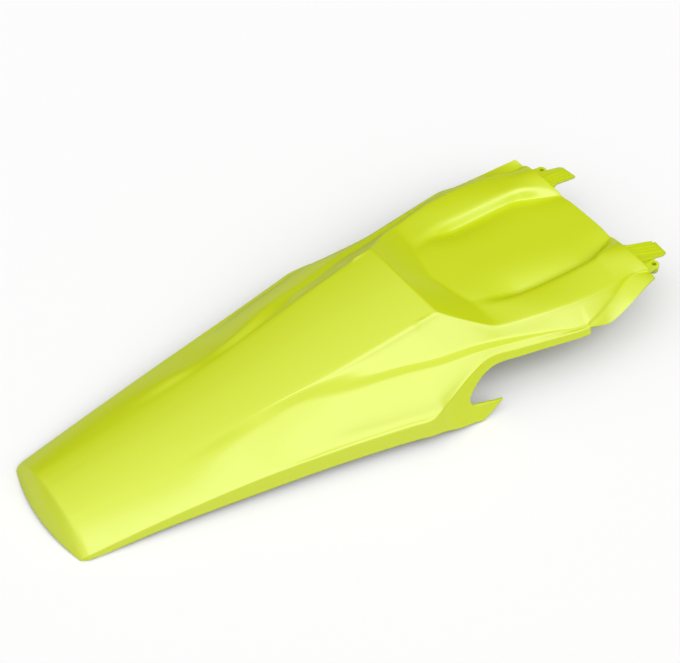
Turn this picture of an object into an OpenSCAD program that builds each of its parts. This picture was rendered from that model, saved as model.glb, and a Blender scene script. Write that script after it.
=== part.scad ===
// Rear fender of an off-road motorcycle: one thin moulding in bright yellow-green plastic.
// Millimetres. X runs forward along the fender, Y across it and Z up.
// The moulding rests on the lower corners of its two hooks and on its tail lip.

/* [Length] */
// Overall, from the tail lip to the tips of the ears
length = 700; // [672:2:732]
// From the tail corners to the front end of the raised back
seat_x = 400; // [360:5:430]
// How far the tail lip bulges backward at its middle
lip_bulge = 9; // [4:0.5:14]
// From the front edge of the shell to the tips of its two ears
ear_reach = 43; // [34:1:50]

/* [Height] */
// Top of the tail lip at the middle
tail_h = 28; // [24:0.5:34]
// Middle of the back, halfway between the tail and the seat
back_h = 55.5; // [50:0.5:62]
// Middle of the back at its front end
seat_h = 95.5; // [88:0.5:100]
// Middle of the seat recess where the ramp meets it
recess_h = 73.5; // [70:0.5:78]
// Middle of the seat recess at the front edge
front_h = 58; // [54:0.5:62]
// Lower edge of the side skirt at the wheel
skirt_h = 11.5; // [8:0.5:14]

/* [Width] */
// Over the corners of the tail lip
tail_w = 123.6; // [112:0.4:132]
// Over the shoulders at the widest point of the skirts
shoulder_w = 248; // [236:1:256]
// Over the shoulders at the waist, behind the notches
waist_w = 208.8; // [204:0.4:216]
// Over the wings, in front of the notches
wing_w = 249; // [242:1:256]
// Over the ridges at the front end of the raised back
ridge_w = 110; // [104:1:116]
// Over the two grooves of the seat recess
groove_w = 117; // [112:1:120]

/* [Shell] */
// Thickness of the shell
wall = 2.6; // [2:0.1:3.2]
// Depth of the joggle along the front flanges
joggle = 2; // [0.6:0.1:2.4]
// Width of the flat at the bottom of each groove
groove_flat = 4; // [2:0.5:6]
// Outward lean of the hook faces, sideways for each millimetre down
hook_lean = 0.55; // [0.45:0.01:0.6]
// Lower edge of the hook at the notch
hook_tip_h = 10.5; // [8:0.5:13]
// From the root of the notch to the tip of the hook
hook_reach = 37.5; // [32:0.5:42]

/* [Ears] */
// Thickness of the ear leaves, their ribs and webs
ear_wall = 2.6; // [2:0.1:3.2]
// Fall of each ear toward its tip
ear_fall = 13.4; // [8:0.2:18]
// Height of the ears at the front edge of the shell
ear_h = 56; // [54:0.5:58]
// Diameter of the screw hole beside each ear
screw_d = 5.2; // [4.2:0.1:6.4]
// From the middle of the fender out to each screw hole
screw_y = 91; // [89:0.5:92]
// From the front edge of the shell forward to each screw hole
screw_x = 15.5; // [14:0.5:18]
// Top of the tab that carries the screw hole
tab_h = 48.6; // [47:0.2:50]
// Length of the screw boss under the tab
boss_len = 9; // [6:0.5:14]

/* [Hidden] */

// From the tail corners to the front edge of the shell
front_x = length - lip_bulge - ear_reach;

// Guide lines are drawn at these two stations and stretched to the lengths above.
seat_drawn = 400;
front_drawn = 648;
function stretched(x) =
    x < seat_drawn ? x * seat_x / seat_drawn
    : seat_x + (x - seat_drawn) * (front_x - seat_x) / (front_drawn - seat_drawn);

// Stations of the drawing, from the tail forward: lip crease, start of the ramp, start of the recess rows,
// root of the notch, corner of the rim, corner and tip of the hook, foot of the ramp, front end of the wing
lip_x = 8;
crest_x = 380;
recess_x = 398;
root_x = 399.4;
corner_x = 403;
hook_corner_x = 409.7;
hook_tip_x = 436.9;
ramp_x = 438;
wing_x = 547;
// Stretches of the drawing over which a form grows in or fades out
build_in = [110, 250];
foot_in = [240, 330];
foot_out = [385, 430];
crest_in = [390, 415];
crest_out = [560, 620];
swell_in = [200, 280];
swell_out = [350, 420];
lap_in = [230, 300];
lap_out = [420, 545];
nip_in = [190, 260];
nip_out = [352, 366];
lean_in = [345, 385];
shelf_in = [460, 520];
flange_in = [wing_x - 4, wing_x + 4];
joggle_out = [596, 630];
arch_in = [600, front_drawn];

function mix(a, b, t) = a + (b - a) * t;
function clamp(v, low, high) = min(max(v, low), high);
function grow(reach, x) =
    let (t = clamp((x - reach[0]) / (reach[1] - reach[0]), 0, 1)) t * t * (3 - 2 * t);
function hump(in, out, x) = grow(in, x) * (1 - grow(out, x));
function soft_min(a, b, k) = let (h = max(k - abs(a - b), 0) / k) min(a, b) - h * h * k / 4;
function soft_max(a, b, k) = -soft_min(-a, -b, k);
function unit(v) = v / norm(v);

// A guide is a list of [station, values...]; it is read as a smooth curve through its points.
function tangent(line, i) =
    let (a = line[max(i - 1, 0)], b = line[min(i + 1, len(line) - 1)]) (b - a) / (b[0] - a[0]);
function span(line, x, i = 0) = i >= len(line) - 2 || x < line[i + 1][0] ? i : span(line, x, i + 1);
function guide(line, station) =
    let (
        x = clamp(station, line[0][0], line[len(line) - 1][0]),
        i = span(line, x),
        h = line[i + 1][0] - line[i][0],
        s = (x - line[i][0]) / h,
        s2 = s * s,
        s3 = s2 * s
    )
    (2 * s3 - 3 * s2 + 1) * line[i] + (s3 - 2 * s2 + s) * h * tangent(line, i)
    + (3 * s2 - 2 * s3) * line[i + 1] + (s3 - s2) * h * tangent(line, i + 1);

// Middle line of the raised back: height
crown_line = [[0, tail_h - 1], [200, back_h], [seat_drawn, seat_h], [460, seat_h + 11.5]];
// Ridge along each side of the back: half width, drop below the middle line
ridge_line = [
    [0, 30, 3.5], [100, 33, 3.5], [200, 38.5, 3.6], [300, 49.2, 4.8], [seat_drawn, ridge_w / 2, 5.4],
    [460, ridge_w / 2 + 3, 6]
];
// Rim of the seat recess, from the corner of the back to the front edge: half width, height
rim_line = [
    [corner_x, ridge_w / 2 + .4, seat_h - 5.4], [419, 66, 82.5], [434, 75.5, 77], [450, 84.3, 70.2],
    [469, 89.6, 68], [508, 97.5, 68.3], [550, 102.3, 66.8], [597, 99.6, 60], [625, 94.5, 58],
    [front_drawn, 98.4, front_h - 2]
];
// Top of the recess walls and bottom of the grooves: half width, height
wall_line = [
    [recess_x, groove_w / 2 - 18.5, recess_h - 1.1], [452, groove_w / 2 - 2.5, recess_h - 3.5],
    [484, groove_w / 2 + 3.8, recess_h - 4],
    [539, groove_w / 2 + 6.7, 67.7], [598, groove_w / 2 + 6, 67.9], [616, groove_w / 2 + .5, 67.4],
    [front_drawn, groove_w / 2 - 9.5, front_h + 1.4]
];
groove_line = [
    [recess_x, groove_w / 2 - 22.5, recess_h + .9], [452, groove_w / 2 - 8.5, recess_h - 3.2],
    [473, groove_w / 2 - 5.5, recess_h - 5.3],
    [488, groove_w / 2 - 3.5, 64.7], [511, groove_w / 2 - 1.5, 59.4], [588, groove_w / 2, 58.6],
    [605, groove_w / 2 - 2, front_h - .9], [front_drawn, groove_w / 2 - 18.5, front_h - 2.4]
];
// Middle line of the recess floor: height
floor_line = [
    [recess_x, recess_h + 3.4], [ramp_x, recess_h], [543, mix(recess_h, front_h, .5)], [front_drawn, front_h]
];
// Ledge along the flank, which becomes the edge of the front flange: half width, height
ledge_line = [
    [198, 46, 48.2], [245, 54.5, 57], [278, 63.2, 59.9], [344, 76, 59.9], [385, 86.7, 59.3],
    [428, 93.5, 58.8], [472, 103, 55.9], [504, 111.5, 53.6], [544, wing_w / 2 - 3.5, 50], [585, 110.5, 54.5],
    [625, 96.7, 58.6], [front_drawn, 101, front_h - 2]
];
// Shoulder, the sharp lower ridge, and then the outer edge of the front flange: half width, height
shoulder_line = [
    [lip_x, tail_w / 2 + 4.2, 5.6], [92, 77.2, 16.7], [175, 89.6, 24.4], [262, 105, 28.3],
    [339, shoulder_w / 2 - 3, 29.7], [351, shoulder_w / 2, 29.3], [377, 116.6, 36], [407, 108.3, 46.1],
    [434, waist_w / 2, 52.3], [467, 110.3, 51], [534, wing_w / 2 - 1.5, 47.9], [wing_x, wing_w / 2, 47.5],
    [576, wing_w / 2 + 2.1, 42.1], [642, 113, 57.9], [front_drawn, 112, 58.5]
];
// Lower edge of the skirt and hook: height
hem_line = [
    [lip_x, 1.2], [92, 6], [176, 9], [263, skirt_h], [352, skirt_h - .3], [380, skirt_h / 2 - .25],
    [hook_corner_x, 0]
];
// Cut edge in front of the notch: depth below the shoulder
cut_line = [[399, 18.2], [408, 14], [418, 11.6], [434, 9.8], [452, 8.4], [500, 7.4], [wing_x, 7]];
// The slit row runs at this share of the skirt's depth behind the notch
slit_share = .441;

// Height inside the ridges and the rim at station x, half width y
function back_z(x, y) =
    let (ridge = guide(ridge_line, x)) guide(crown_line, x)[1] - ridge[2] * pow(y / ridge[1], 2);
// The ramp falls away from the end of the back, less steeply toward its sides, and bows forward there
ramp_fall = .558;
ramp_ease = .0029;
ramp_drop = 5.3;
ramp_bow = 4.3;
function ramp_z(x, y) =
    let (out = pow(2 * y / ridge_w, 2))
    seat_h - ramp_drop * out - (ramp_fall - ramp_ease * y) * (x - root_x + .6 - ramp_bow * out);
// The floor of the recess rolls down into the grooves
floor_roll = 4;
shelf_swell = 1.2;
front_swell = 6.8;
function recess_z(x, y) =
    let (
        groove = guide(groove_line, x),
        top = guide(wall_line, x),
        rim = guide(rim_line, x),
        middle = guide(floor_line, x)[1],
        t = clamp((y - top[1]) / (rim[1] - top[1]), 0, 1)
    )
    y < groove[1] ? mix(middle, groove[2], pow(min(1, y / (groove[1] - groove_flat)), floor_roll))
    : y < top[1] ? mix(groove[2], top[2], (y - groove[1]) / (top[1] - groove[1]))
    : mix(top[2], rim[2], t)
        + 4 * t * (1 - t) * (shelf_swell * grow(shelf_in, x) + front_swell * grow(arch_in, x));
// Rounding of the crest of the ramp and of its foot
fillet = 1.4;
function top_z(x, y) =
    x < crest_x ? back_z(x, y)
    : soft_max(soft_min(back_z(x, y), ramp_z(x, y), fillet), recess_z(x, y), fillet);

// Half width of the ridge, which the rim carries on forward of the seat
function edge_y(x) = x < corner_x ? guide(ridge_line, x)[1] : guide(rim_line, x)[1];
// Half widths of the rows inside the rim
floor_shares = [0, .35, .65, .85, 1];
wall_shares = [0, .5, 1];
shelf_shares = [.3, .65, 1];
groove_share = .655;
wall_share = .73;
function groove_y(x) = x < recess_x ? groove_share * edge_y(x) : guide(groove_line, x)[1];
function wall_y(x) = x < recess_x ? wall_share * edge_y(x) : guide(wall_line, x)[1];
function top_rows(x) = concat(
    [for (f = floor_shares) f * (groove_y(x) - groove_flat)],
    [for (f = wall_shares) mix(groove_y(x), wall_y(x), f)],
    [for (f = shelf_shares) mix(wall_y(x), edge_y(x), f)]
);
function top_points(x) = [for (y = top_rows(x)) [y, top_z(x, y)]];

// Points of the flank, from the ridge or rim out to the shoulder. At the tail it is one plain arch;
// further forward it has a step under the ridge, a ledge, a shoulder and then a joggled flange.
flank_steps = 7;
arch_power = 2.1;
// The joggle is sharp along the wing, and lower and wider at the front edge
joggle_run = 1;
joggle_spread = 2.2;
joggle_fade = .6;
function flank_points(x) =
    let (
        edge = [edge_y(x), top_z(x, edge_y(x))],
        ledge = guide(ledge_line, x),
        end = guide(shoulder_line, x),
        crown = guide(crown_line, x)[1],
        built = grow(build_in, x),
        flange = grow(flange_in, x),
        foot = hump(foot_in, foot_out, x),
        crest = hump(crest_in, crest_out, x),
        front = grow(joggle_out, x),
        run = mix(joggle_run, joggle_spread, front),
        lap = mix(.8 + 3.4 * hump(lap_in, lap_out, x), run / 2, flange),
        nip = mix(1 + 4.5 * hump(nip_in, nip_out, x), .8, flange),
        drop = joggle * flange * (1 - joggle_fade * front),
        inner = [ledge[1] - lap, ledge[2] + .25 * lap + drop / 2],
        outer = [ledge[1] + lap, ledge[2] - .25 * lap - drop / 2],
        last = mix([end[1] - nip, end[2] + nip], mix(outer, [end[1], end[2]], .88), flange),
        swell = hump(swell_in, swell_out, x) * [1.7, 2.9],
        knots = [
            edge, edge + [1.2 + 1.5 * foot + 1.8 * crest, -1.2 * built - 3.5 * foot - .8 * crest],
            inner, outer, mix(outer, last, .35) + swell, mix(outer, last, .7) + swell, last, [end[1], end[2]]
        ]
    )
    [for (i = [1:flank_steps])
        let (
            share = i / flank_steps,
            y = mix(edge[0], end[1], share),
            arch = crown - (crown - end[2]) * pow(y / end[1], arch_power),
            shift = edge[1] - crown + (crown - end[2]) * pow(edge[0] / end[1], arch_power)
        )
        mix([y, arch + shift * (1 - share)], knots[i], built)
    ];

// Face of the skirt and hook at station x, height z: half width.
// Its lean grows toward the hook, and the hook widens a little forward of the root of the notch.
skirt_lean = .35;
bevel_lean = .5;
hook_flare = .017;
function skirt_y(x, z) =
    let (
        shoulder = guide(shoulder_line, min(x, seat_drawn)),
        lean = mix(skirt_lean, hook_lean, grow(lean_in, x))
    )
    shoulder[1] + lean * (shoulder[2] - z) + hook_flare * max(0, x - seat_drawn);
function hem_z(x) = guide(hem_line, x)[1];
function slit_z(x) =
    let (shoulder = guide(shoulder_line, x)[2])
    x <= root_x ? mix(shoulder, hem_z(x), slit_share) : shoulder - guide(cut_line, x)[1];
function bevel_y(x, z) =
    let (shoulder = guide(shoulder_line, x), lean = mix(hook_lean, bevel_lean, grow([seat_drawn, wing_x], x)))
    x < seat_drawn ? skirt_y(x, z) : shoulder[1] + lean * (shoulder[2] - z);
bevel_shares = [.5, 1];
function bevel_points(x) =
    let (shoulder = guide(shoulder_line, x)[2], slit = slit_z(x))
    [for (f = bevel_shares) let (z = mix(shoulder, slit, f)) [bevel_y(x, z), z]];

function section(x) = concat(top_points(x), flank_points(x), bevel_points(x));
rim_row = len(floor_shares) + len(wall_shares) + len(shelf_shares) - 1;
shoulder_row = rim_row + flank_steps;
slit_row = shoulder_row + len(bevel_shares);

// Columns of the shell: the lip, then stations along the drawing
lip_steps = [0, .35, .7];
stations = [
    lip_x, 20, 40, 60, 80, 100, 120, 140, 160, 180, 200, 218, 236, 254, 272, 290, 308, 325, 340, 351,
    362, 374, 387, root_x, 404, 409, 415, 421, 428, 436, 444, 452, 460, 469, 480, 493, 506, 520, 534,
    wing_x, 554, 564, 576, 588, 600, 612, 624, 634, 642, front_drawn
];
root_col = len(lip_steps) + search(root_x, stations)[0];
wing_col = len(lip_steps) + search(wing_x, stations)[0];
last_col = len(lip_steps) + len(stations) - 1;

// The columns bow forward with the ramp, and the front edge draws back over its arch and flange.
foot_bow = 10.7;
arch_y = 45;
arch_back = 7.5;
flange_back = 5.5;
function bow(x) =
    ramp_bow * grow([365, root_x], x) + foot_bow * grow([404, 440], x)
    - (ramp_bow + foot_bow) * grow([445, 530], x);
function row_station(x, j) =
    let (
        edge = edge_y(x),
        inside = j <= rim_row,
        y = inside ? top_rows(x)[j] : 0,
        out = inside ? 0 : min(1, (j - rim_row) / flank_steps),
        share = inside ? min(1, pow(y / edge, 2)) : 1 - out,
        t = inside ? clamp((y - arch_y) / (edge - arch_y), 0, 1) : 0
    )
    x + bow(x) * share - (4 * t * (1 - t) * arch_back + out * flange_back) * grow(arch_in, x);
function station_point(x, j) =
    let (s = row_station(x, j), p = section(s)[j]) [stretched(s), p[0], p[1]];

// The tail lip closes the end of the shell
lip_share = tail_w / 2 / guide(shoulder_line, lip_x)[1];
lip_rise = 2.7;
lip_swell = 1.2;
function lip_edge(p) =
    let (y = p[1] * lip_share, sag = 1 - pow(y / (tail_w / 2), 2))
    [-lip_bulge * sag, y, max(0, lip_rise * sag)];
function lip_point(f, j) =
    let (crease = station_point(lip_x, j), low = lip_edge(crease), swell = 4 * f * (1 - f) * lip_swell)
    mix(low, crease, f) + [-swell, 0, swell / 2];

half_shell = [
    for (i = [0:last_col])
        [for (j = [0:i <= wing_col ? slit_row : shoulder_row])
            i < len(lip_steps) ? lip_point(lip_steps[i], j)
            : station_point(stations[i - len(lip_steps)], j)]
];

// Rows of the skirt and hook, from the slit row down to the hem, which turns in
skirt_shares = [0, .3, .62, .92, 1];
hem_turn = .9;
hem_in = [15, 110];
last_skirt = len(skirt_shares) - 1;
// Stations of the hook, and how far its upper edge has fallen there, from the notch to the tip
hook_cols = [[403.4, 0], [hook_corner_x, .18], [418, .42], [427, .7], [hook_tip_x, 1]];
notch_h = 18.5;
tip_edge = 1.2;
function skirt_point(i, k) =
    let (
        x = stations[i - len(lip_steps)],
        z = mix(slit_z(x), hem_z(x), skirt_shares[k])
    )
    [stretched(x), skirt_y(x, z) - (k == last_skirt ? hem_turn * grow(hem_in, x) : 0), z];
function skirt_lip_point(i, k) =
    let (f = lip_steps[i], crease = skirt_point(len(lip_steps), k), low = lip_edge(crease))
    mix(low, crease, f);
function hook_point(i, k) =
    let (
        drawn = hook_cols[i][0],
        x = root_x + (drawn - root_x) * hook_reach / (hook_tip_x - root_x),
        rise = (drawn - hook_corner_x) / (hook_tip_x - hook_corner_x),
        top = mix(notch_h, hook_tip_h + tip_edge, hook_cols[i][1]),
        low = drawn < hook_corner_x ? hem_z(drawn) : hook_tip_h * rise,
        z = mix(top, low, skirt_shares[k])
    )
    [stretched(x), skirt_y(x, z) - (k == last_skirt ? hem_turn : 0), z];
hook_last = root_col + len(hook_cols);
half_skirt = [
    for (i = [0:hook_last])
        [for (k = [0:last_skirt])
            i < len(lip_steps) ? skirt_lip_point(i, k)
            : i <= root_col ? skirt_point(i, k)
            : hook_point(i - root_col - 1, k)]
];

// Inner side of the wall: each point moved inward by the wall along the surface normal
function facing(a, b, c, d) = unit(cross(b - a, d - c));
function shell_at(i, j) =
    let (col = half_shell[clamp(i, 0, last_col)], row = min(j, len(col) - 1))
    row < 0 ? let (p = col[-row]) [p[0], -p[1], p[2]] : col[row];
function shell_normal(i, j) =
    let (
        back = i > 0 ? i - 1 : i,
        ahead = i < last_col && len(half_shell[i + 1]) > j ? i + 1 : i
    )
    facing(shell_at(back, j), shell_at(ahead, j), shell_at(i, j - 1), shell_at(i, j + 1));
shell_normals = [
    for (i = [0:last_col]) [for (j = [0:len(half_shell[i]) - 1]) shell_normal(i, j)]
];
function even_normal(i, j) =
    let (col = shell_normals[i], n = len(col) - 1)
    unit(col[min(j + 1, n)] + 1.5 * col[j] + (j == 0 ? [col[1][0], -col[1][1], col[1][2]] : col[j - 1]));
// Below the shoulder the inner face is level with the outer one and set in sideways
side_wall = wall * sqrt(1 + pow(hook_lean, 2));
function skirt_in(x, z, y) = [stretched(x), y - side_wall, z];
function top_inner(i, j) =
    let (q = half_shell[i][j] - wall * even_normal(i, j)) j == 0 ? [q[0], 0, q[2]] : q;
function bevel_inner(i, share) =
    let (
        x = stations[i - len(lip_steps)],
        top = top_inner(i, shoulder_row)[2],
        z = x <= root_x ? mix(top, hem_z(x), slit_share * share) : mix(top, slit_z(x), share)
    )
    skirt_in(x, z, bevel_y(x, z));
function lip_inward(p) = unit([1, -.8 * pow(p[1] / (tail_w / 2), 3), 0]);
function lip_inner(f, crease, crease_inner) =
    let (low = lip_edge(crease)) mix(low + wall * lip_inward(low), crease_inner, f);
function shell_inner(i, j) =
    i < len(lip_steps)
    ? lip_inner(lip_steps[i], half_shell[len(lip_steps)][j], shell_inner(len(lip_steps), j))
    : j <= shoulder_row ? top_inner(i, j)
    : bevel_inner(i, bevel_shares[j - shoulder_row - 1]);
function skirt_inner(i, k) =
    let (p = half_skirt[i][k])
    i < len(lip_steps)
    ? lip_inner(lip_steps[i], half_skirt[len(lip_steps)][k], skirt_inner(len(lip_steps), k))
    : i > root_col ? p - [0, side_wall, 0]
    : let (
        x = stations[i - len(lip_steps)],
        share = mix(slit_share, 1, skirt_shares[k]),
        z = mix(top_inner(i, shoulder_row)[2], hem_z(x), share)
    )
    skirt_in(x, z, skirt_y(x, z));

// Vertex lists. Each grid point has an outer and an inner vertex on each side of the middle.
function mirrored(p) = [p[0], -p[1], p[2]];
shell_cols = [for (i = [0:last_col]) len(half_shell[i])];
function before(i) = i == 0 ? 0 : before(i - 1) + shell_cols[i - 1];
shell_start = [for (i = [0:last_col]) before(i)];
shell_count = before(last_col) + shell_cols[last_col];
skirt_count = len(skirt_shares) * (hook_last + 1);
layer = shell_count + skirt_count;
outer_points = concat(
    [for (i = [0:last_col]) for (j = [0:shell_cols[i] - 1]) half_shell[i][j]],
    [for (i = [0:hook_last]) for (k = [0:last_skirt]) half_skirt[i][k]]
);
inner_points = concat(
    [for (i = [0:last_col]) for (j = [0:shell_cols[i] - 1]) shell_inner(i, j)],
    [for (i = [0:hook_last]) for (k = [0:last_skirt]) skirt_inner(i, k)]
);
all_points = concat(
    outer_points, inner_points, [for (p = outer_points) mirrored(p)], [for (p = inner_points) mirrored(p)]
);
// side: 0 left, 1 right; face: 0 outer, 1 inner
function shell_id(i, j, side, face) = shell_start[i] + j + face * layer + (j == 0 ? 0 : side * 2 * layer);
function skirt_id(i, k, side, face) =
    k == 0 && i <= root_col ? shell_id(i, slit_row, side, face)
    : shell_count + len(skirt_shares) * i + k + face * layer + side * 2 * layer;

function quad(a, b, c, d, flip) = flip ? [[a, b, c], [a, c, d]] : [[c, b, a], [d, c, a]];
function shell_faces(side) = [
    for (i = [0:last_col - 1])
        for (j = [0:min(shell_cols[i], shell_cols[i + 1]) - 2])
            for (face = [0, 1])
                each quad(
                    shell_id(i, j, side, face), shell_id(i + 1, j, side, face),
                    shell_id(i + 1, j + 1, side, face), shell_id(i, j + 1, side, face),
                    (side + face) % 2 == 1
                )
];
function skirt_faces(side) = [
    for (i = [0:hook_last - 1])
        for (k = [0:last_skirt - 1])
            for (face = [0, 1])
                each quad(
                    skirt_id(i, k, side, face), skirt_id(i + 1, k, side, face),
                    skirt_id(i + 1, k + 1, side, face), skirt_id(i, k + 1, side, face),
                    (side + face) % 2 == 1
                )
];
// The free edge of one half as outer and inner vertices, from the middle of the lip round to the front
function edge_ids(side) = [
    for (face = [0, 1]) concat(
        [for (j = [0:slit_row]) shell_id(0, j, side, face)],
        [for (k = [1:last_skirt]) skirt_id(0, k, side, face)],
        [for (i = [1:hook_last]) skirt_id(i, last_skirt, side, face)],
        [for (k = [last_skirt - 1:-1:0]) skirt_id(hook_last, k, side, face)],
        [for (i = [hook_last - 1:-1:root_col]) skirt_id(i, 0, side, face)],
        [for (i = [root_col + 1:wing_col]) shell_id(i, slit_row, side, face)],
        [for (j = [slit_row - 1:-1:shoulder_row]) shell_id(wing_col, j, side, face)],
        [for (i = [wing_col + 1:last_col]) shell_id(i, shoulder_row, side, face)],
        [for (j = [shoulder_row - 1:-1:0]) shell_id(last_col, j, side, face)]
    )
];
function rim_faces(side) =
    let (loop = edge_ids(side), n = len(loop[0]))
    [for (m = [0:n - 2]) each quad(loop[0][m], loop[0][m + 1], loop[1][m + 1], loop[1][m], side == 1)];

module shell() {
    polyhedron(
        all_points,
        concat(
            shell_faces(0), shell_faces(1), skirt_faces(0), skirt_faces(1), rim_faces(0), rim_faces(1)
        ),
        convexity = 12
    );
}

// Each ear is a ribbed leaf that leans down and forward from under the front edge.
// Its places are measured forward from the front edge of the shell and out from the middle.
ear_slope = tan(ear_fall);
leaf_back = 10;
leaf_in = 55;
leaf_out = 85.4;
function leaf_z(x) = ear_h - ear_slope * x;
module ear_leaf() {
    end = ear_reach / cos(ear_fall);
    translate([0, 0, ear_h]) rotate([0, ear_fall, 0]) translate([0, 0, -ear_wall])
        linear_extrude(ear_wall)
            polygon([
                [-leaf_back, leaf_in], [2, leaf_in + .7], [15, leaf_in + 6.2], [29, leaf_in + 7.2],
                [end, leaf_in + 9.7], [end - 2.5, leaf_out - 1.9], [end - 8, leaf_out + .2], [25, leaf_out],
                [leaf_back, 76], [2, 71.5], [-leaf_back, 71]
            ]);
}

// The ribs fan out toward the tip. Behind the front edge they rise to the underside of the shell.
rib_count = 4;
rib_w = 1.5;
rib_h = 1.2;
rib_start = 57.4;
rib_pitch = 4.1;
rib_spread = 5.8;
rib_fan = 1.4;
rib_back = 18;
rib_end = ear_reach - 4;
module ear_rib(i) {
    from = rib_start + rib_pitch * i;
    turn = atan((rib_spread + rib_fan * i) / (rib_end + rib_back));
    translate([-rib_back, from, 0]) rotate([0, 0, turn])
        translate([rib_back, rib_w / 2, 0]) rotate([90, 0, 0])
            linear_extrude(rib_w)
                polygon([
                    [-rib_back, 64.9], [-9.5, 64.6], [-8, 61], [-4, 58.6], [2, leaf_z(2) + rib_h],
                    [rib_end, leaf_z(rib_end) + rib_h], [rib_end, leaf_z(rib_end) - 1],
                    [-rib_back, leaf_z(-leaf_back) - 1]
                ]);
}

// The web stands under the outer edge of the leaf and carries the tab, which is closed behind by a wall.
tab_back = 12;
web_in = 84;
web_wall = ear_wall - .6;
web_end = ear_reach - 9;
module ear_web() {
    translate([0, web_in + web_wall, 0]) rotate([90, 0, 0])
        linear_extrude(web_wall)
            polygon([
                [-tab_back, 61.9], [-8.5, 61.6], [-5, 57], [24, leaf_z(24) - .6],
                [web_end, leaf_z(web_end) - .6], [web_end, tab_h - 3], [screw_x, tab_h - ear_wall],
                [-tab_back, tab_h - ear_wall]
            ]);
}
tab_in = web_in + .4;
tab_out = 100;
module tab() {
    translate([0, 0, tab_h - ear_wall]) linear_extrude(ear_wall)
        polygon([
            [-tab_back, tab_in], [screw_x + 5, tab_in], [screw_x + 5, screw_y], [screw_x, screw_y + 5.4],
            [5, screw_y + 7], [-3, tab_out], [-tab_back, tab_out]
        ]);
    translate([-tab_back, 0, 0]) rotate([90, 0, 90]) linear_extrude(ear_wall)
        polygon([
            [tab_in, tab_h - ear_wall], [tab_in, 61.8], [90, 58.9], [96, 55.8], [tab_out, 55],
            [tab_out, tab_h - ear_wall]
        ]);
}

boss_wall = 3.2;
module ear() {
    translate([front_x, 0, 0])
        difference() {
            union() {
                ear_leaf();
                for (i = [0:rib_count - 1]) ear_rib(i);
                ear_web();
                tab();
                translate([screw_x, screw_y, tab_h - boss_len])
                    cylinder(h = boss_len, r = screw_d / 2 + boss_wall, $fn = 48);
            }
            translate([screw_x, screw_y, tab_h - boss_len - 1])
                cylinder(h = boss_len + 2, d = screw_d, $fn = 48);
        }
}

module rear_fender() {
    color([.84, .93, .2])
        translate([lip_bulge - length / 2, 0, 0]) {
            shell();
            ear();
            mirror([0, 1, 0]) ear();
        }
}

rear_fender();
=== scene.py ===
import math

import bmesh
import bpy
import numpy as np
from mathutils import Matrix, Vector


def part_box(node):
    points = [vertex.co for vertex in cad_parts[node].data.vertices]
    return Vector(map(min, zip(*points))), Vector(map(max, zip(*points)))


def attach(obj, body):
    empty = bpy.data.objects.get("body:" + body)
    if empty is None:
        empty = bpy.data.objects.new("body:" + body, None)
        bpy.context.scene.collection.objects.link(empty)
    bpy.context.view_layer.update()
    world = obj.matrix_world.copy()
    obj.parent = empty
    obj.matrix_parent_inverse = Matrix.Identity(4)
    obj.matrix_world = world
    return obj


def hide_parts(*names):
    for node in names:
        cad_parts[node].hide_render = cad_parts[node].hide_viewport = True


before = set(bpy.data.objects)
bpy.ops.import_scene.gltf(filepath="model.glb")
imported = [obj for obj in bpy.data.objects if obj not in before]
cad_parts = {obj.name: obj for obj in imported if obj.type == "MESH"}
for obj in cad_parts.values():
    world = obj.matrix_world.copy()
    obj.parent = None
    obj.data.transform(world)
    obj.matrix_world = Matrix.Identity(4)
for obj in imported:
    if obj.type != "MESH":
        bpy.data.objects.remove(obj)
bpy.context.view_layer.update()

MM = 0.001

# Sizes in millimetres, as in the part's source, but for the crown by the seat, the rim near the wings,
# the joggle and the outer side of the ears, which differ a little. Small forms are added here.
# X is measured forward from the tail corners, Y out from the middle, Z up from the rest plane.
LIP_BULGE = 9
TAIL_H = 28
BACK_H = 55.5
SEAT_H = 95.5
RECESS_H = 73.5
FRONT_H = 58
SKIRT_H = 11.5
TAIL_W = 123.6
SHOULDER_W = 248
WAIST_W = 208.8
WING_W = 249
RIDGE_W = 110
GROOVE_W = 117
EAR_REACH = 43
WALL = 2.6
GROOVE_FLAT = 4
HOOK_LEAN = 0.55
HOOK_TIP_H = 10.5

# Stations of the drawing, from the tail forward
LIP_X = 8
CREST_X = 380
RECESS_X = 398
ROOT_X = 399.4
SEAT_X = 400
CORNER_X = 403
HOOK_CORNER_X = 409.7
HOOK_TIP_X = 436.9
RAMP_X = 438
WING_X = 547
FRONT_X = 648
# Stretches of the drawing over which a form grows in or fades out
BUILD_IN = (110, 250)
FOOT_IN = (240, 330)
FOOT_OUT = (385, 430)
CREST_IN = (390, 415)
CREST_OUT = (560, 620)
SWELL_IN = (200, 280)
SWELL_OUT = (350, 420)
LAP_IN = (230, 300)
LAP_OUT = (420, 545)
NIP_IN = (190, 260)
NIP_OUT = (352, 366)
LEAN_IN = (345, 385)
CREASE_IN = (190, 340)
EVEN_IN = (372, 390)
EVEN_OUT = (425, 445)
RAMP_BOW_IN = (365, ROOT_X)
FOOT_BOW_IN = (404, 440)
BOW_OUT = (445, 530)
SHELF_IN = (460, 520)
FLANGE_IN = (WING_X - 4, WING_X + 4)
JOGGLE_OUT = (596, 630)
ARCH_IN = (600, FRONT_X)

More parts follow.
